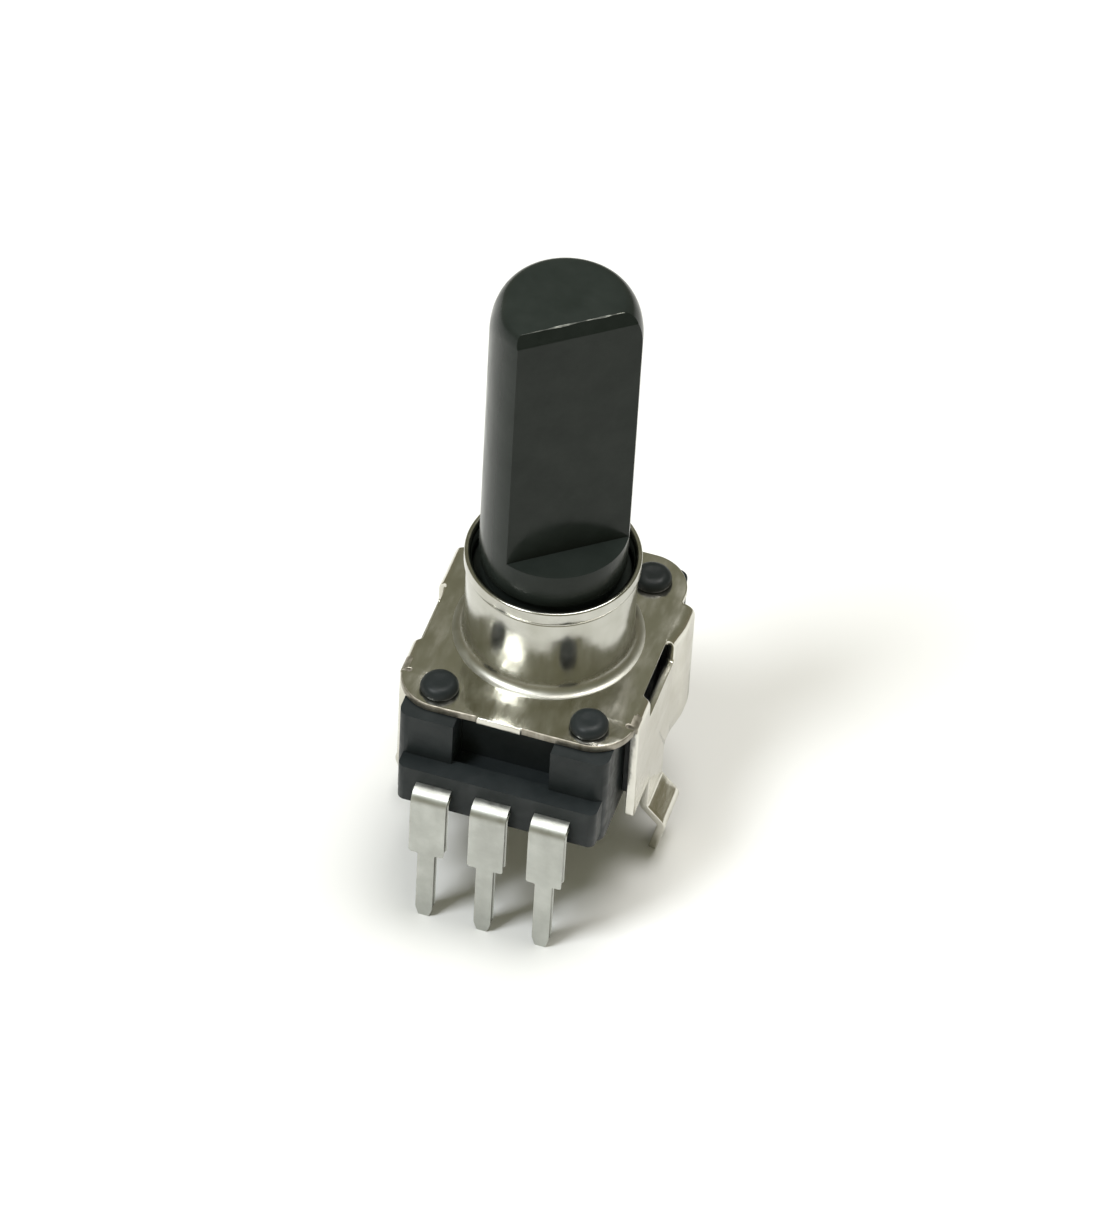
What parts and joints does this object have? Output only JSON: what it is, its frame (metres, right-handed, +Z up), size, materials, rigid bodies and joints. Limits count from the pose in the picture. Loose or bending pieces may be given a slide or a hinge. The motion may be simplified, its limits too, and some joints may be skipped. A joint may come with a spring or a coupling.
{
  "type": "rotary encoder",
  "caption": "Board-mount rotary encoder with a tall black D-cut shaft, nickel collar and cover, bent solder terminals and snap-in lugs.",
  "frame": {"origin": "on the shaft's axis, in the plane of the circuit board's top face, where the case's standoffs rest", "axes": "+Z up the shaft away from the board, -Y towards the row of terminals, +X to the right seen from the terminals"},
  "size_m": [0.0116, 0.0132, 0.0287],
  "materials": {
    "nickel_plate": "satin",
    "case_plastic": "satin",
    "shaft_plastic": "satin",
    "terminal_tin": "satin",
    "contact_bronze": "satin",
    "rotor_plastic": "satin",
    "spring_steel": "satin",
    "washer_film": "satin"
  },
  "bodies": {
    "case": {"cover_frame": "nickel_plate", "housing": "case_plastic", "click_spring": "spring_steel", "terminal_a": "terminal_tin", "terminal_c": "terminal_tin", "terminal_b": "terminal_tin", "brush_a": "contact_bronze", "brush_c": "contact_bronze", "brush_b": "contact_bronze"},
    "spindle": {"shaft": "shaft_plastic", "rotor": "rotor_plastic", "code_disc": "contact_bronze", "thrust_washer": "washer_film"}
  },
  "joints": [
    {"name": "shaft_spin", "type": "hinge", "parent": "case", "child": "spindle", "pos_m": [0, 0, 0], "axis": [0, 0, 1], "continuous": true}
  ]
}
